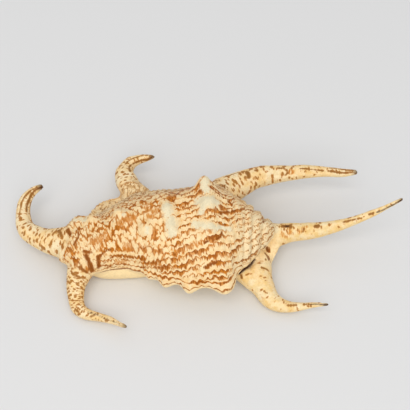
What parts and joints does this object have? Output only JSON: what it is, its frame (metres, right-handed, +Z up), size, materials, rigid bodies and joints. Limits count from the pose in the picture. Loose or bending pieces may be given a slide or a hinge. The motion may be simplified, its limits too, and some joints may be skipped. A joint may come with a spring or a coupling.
{
  "type": "spider conch shell",
  "caption": "Empty sea shell that lies on its aperture, with a domed knobbed back, a low spire and long curved finger-like digits round its lip.",
  "frame": {"origin": "on the ground under the middle of the shell's box", "axes": "+X from the siphonal end to the spire, +Y to the outer lip, +Z up from the aperture to the back"},
  "size_m": [0.2228, 0.1208, 0.0526],
  "materials": {
    "shell": "grown aragonite shell, satin, cream with brown wavy bands; smooth cream to pink callus below"
  },
  "bodies": {
    "root": {"shell": "shell"}
  },
  "joints": []
}
